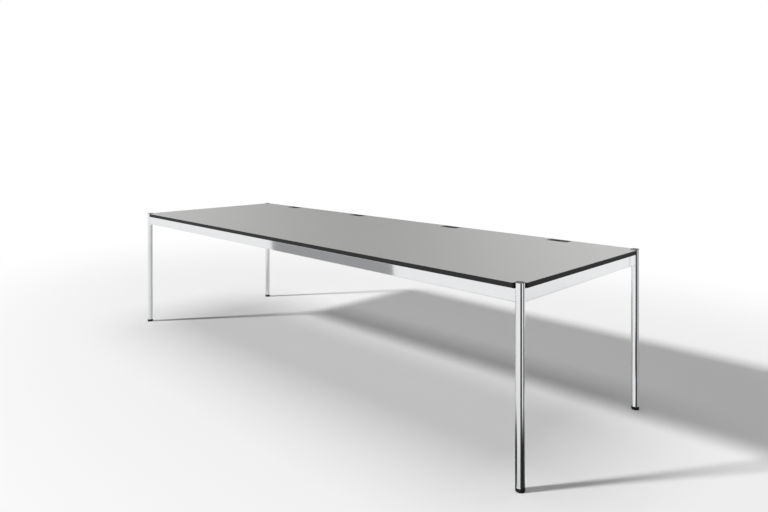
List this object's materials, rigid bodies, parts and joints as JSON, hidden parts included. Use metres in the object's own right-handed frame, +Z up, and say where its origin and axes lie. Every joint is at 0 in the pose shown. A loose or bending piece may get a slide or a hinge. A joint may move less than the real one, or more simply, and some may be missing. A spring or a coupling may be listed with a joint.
{
  "type": "conference table",
  "caption": "Long conference table: grey laminate board with a black edge on a chromed tube frame, round corner legs, levelling feet and lidded cable outlets along the rear edge.",
  "frame": {"origin": "on the floor, under the middle of the table", "axes": "+X along the long side, +Y towards the rear edge with the cable outlets, +Z up"},
  "size_m": [3, 1, 0.7431],
  "materials": {
    "grey_laminate": "grey high-pressure laminate, fine matt texture",
    "backing_laminate": "dark grey backing laminate, matt",
    "board_core": "particle board, raw",
    "black_edge": "black edge band, satin",
    "chrome": "polished chrome plate on steel tube",
    "zinc_steel": "zinc-plated steel",
    "cap_plastic": "dark grey moulded plastic",
    "black_plastic": "black moulded plastic, fine spark-eroded texture"
  },
  "bodies": {
    "table": {"top_laminate": "grey_laminate", "top_core": "board_core", "backing_laminate": "backing_laminate", "edge_band_front": "black_edge", "edge_band_right": "black_edge", "edge_band_rear": "black_edge", "edge_band_left": "black_edge", "rail_front": "chrome", "rail_right": "chrome", "rail_rear": "chrome", "rail_left": "chrome", "cross_rail_left": "chrome", "cross_rail_middle": "chrome", "cross_rail_right": "chrome", "corner_bracket_front_left": "zinc_steel", "leg_front_left": "chrome", "leg_cap_front_left": "cap_plastic", "leg_bolt_front_left": "zinc_steel", "leg_insert_front_left": "zinc_steel", "foot_insert_front_left": "black_plastic", "corner_bracket_front_right": "zinc_steel", "leg_front_right": "chrome", "leg_cap_front_right": "cap_plastic", "leg_bolt_front_right": "zinc_steel", "leg_insert_front_right": "zinc_steel", "foot_insert_front_right": "black_plastic", "corner_bracket_rear_right": "zinc_steel", "leg_rear_right": "chrome", "leg_cap_rear_right": "cap_plastic", "leg_bolt_rear_right": "zinc_steel", "leg_insert_rear_right": "zinc_steel", "foot_insert_rear_right": "black_plastic", "corner_bracket_rear_left": "zinc_steel", "leg_rear_left": "chrome", "leg_cap_rear_left": "cap_plastic", "leg_bolt_rear_left": "zinc_steel", "leg_insert_rear_left": "zinc_steel", "foot_insert_rear_left": "black_plastic", "outlet_frame_1": "black_plastic", "outlet_pin_1": "zinc_steel", "outlet_frame_2": "black_plastic", "outlet_pin_2": "zinc_steel", "outlet_frame_3": "black_plastic", "outlet_pin_3": "zinc_steel", "outlet_frame_4": "black_plastic", "outlet_pin_4": "zinc_steel"},
    "foot_front_left": {"foot_pad_front_left": "black_plastic"},
    "stem_front_left": {"foot_stem_front_left": "zinc_steel"},
    "foot_front_right": {"foot_pad_front_right": "black_plastic"},
    "stem_front_right": {"foot_stem_front_right": "zinc_steel"},
    "foot_rear_right": {"foot_pad_rear_right": "black_plastic"},
    "stem_rear_right": {"foot_stem_rear_right": "zinc_steel"},
    "foot_rear_left": {"foot_pad_rear_left": "black_plastic"},
    "stem_rear_left": {"foot_stem_rear_left": "zinc_steel"},
    "lid_1": {"outlet_lid_1": "black_plastic"},
    "lid_2": {"outlet_lid_2": "black_plastic"},
    "lid_3": {"outlet_lid_3": "black_plastic"},
    "lid_4": {"outlet_lid_4": "black_plastic"}
  },
  "joints": [
    {"name": "foot_front_left_slide", "type": "slide", "parent": "table", "child": "foot_front_left", "axis": [0, 0, -1], "range_m": [0, 0.012]},
    {"name": "stem_front_left_turn", "type": "hinge", "parent": "foot_front_left", "child": "stem_front_left", "pos_m": [-1.4825, -0.4825, 0], "axis": [0, 0, -1], "range_deg": [0, 2880]},
    {"name": "foot_front_right_slide", "type": "slide", "parent": "table", "child": "foot_front_right", "axis": [0, 0, -1], "range_m": [0, 0.012]},
    {"name": "stem_front_right_turn", "type": "hinge", "parent": "foot_front_right", "child": "stem_front_right", "pos_m": [1.4825, -0.4825, 0], "axis": [0, 0, -1], "range_deg": [0, 2880]},
    {"name": "foot_rear_right_slide", "type": "slide", "parent": "table", "child": "foot_rear_right", "axis": [0, 0, -1], "range_m": [0, 0.012]},
    {"name": "stem_rear_right_turn", "type": "hinge", "parent": "foot_rear_right", "child": "stem_rear_right", "pos_m": [1.4825, 0.4825, 0], "axis": [0, 0, -1], "range_deg": [0, 2880]},
    {"name": "foot_rear_left_slide", "type": "slide", "parent": "table", "child": "foot_rear_left", "axis": [0, 0, -1], "range_m": [0, 0.012]},
    {"name": "stem_rear_left_turn", "type": "hinge", "parent": "foot_rear_left", "child": "stem_rear_left", "pos_m": [-1.4825, 0.4825, 0], "axis": [0, 0, -1], "range_deg": [0, 2880]},
    {"name": "lid_1_hinge", "type": "hinge", "parent": "table", "child": "lid_1", "pos_m": [-1.1, 0.496, 0.7365], "axis": [-1, 0, 0], "range_deg": [0, 95]},
    {"name": "lid_2_hinge", "type": "hinge", "parent": "table", "child": "lid_2", "pos_m": [-0.4, 0.496, 0.7365], "axis": [-1, 0, 0], "range_deg": [0, 95]},
    {"name": "lid_3_hinge", "type": "hinge", "parent": "table", "child": "lid_3", "pos_m": [0.4, 0.496, 0.7365], "axis": [-1, 0, 0], "range_deg": [0, 95]},
    {"name": "lid_4_hinge", "type": "hinge", "parent": "table", "child": "lid_4", "pos_m": [1.1, 0.496, 0.7365], "axis": [-1, 0, 0], "range_deg": [0, 95]}
  ],
  "couplings": [
    {"joint": "stem_front_left_turn", "follows": "foot_front_left_slide", "rad_per_m": 4188.8},
    {"joint": "stem_front_right_turn", "follows": "foot_front_right_slide", "rad_per_m": 4188.8},
    {"joint": "stem_rear_right_turn", "follows": "foot_rear_right_slide", "rad_per_m": 4188.8},
    {"joint": "stem_rear_left_turn", "follows": "foot_rear_left_slide", "rad_per_m": 4188.8}
  ]
}
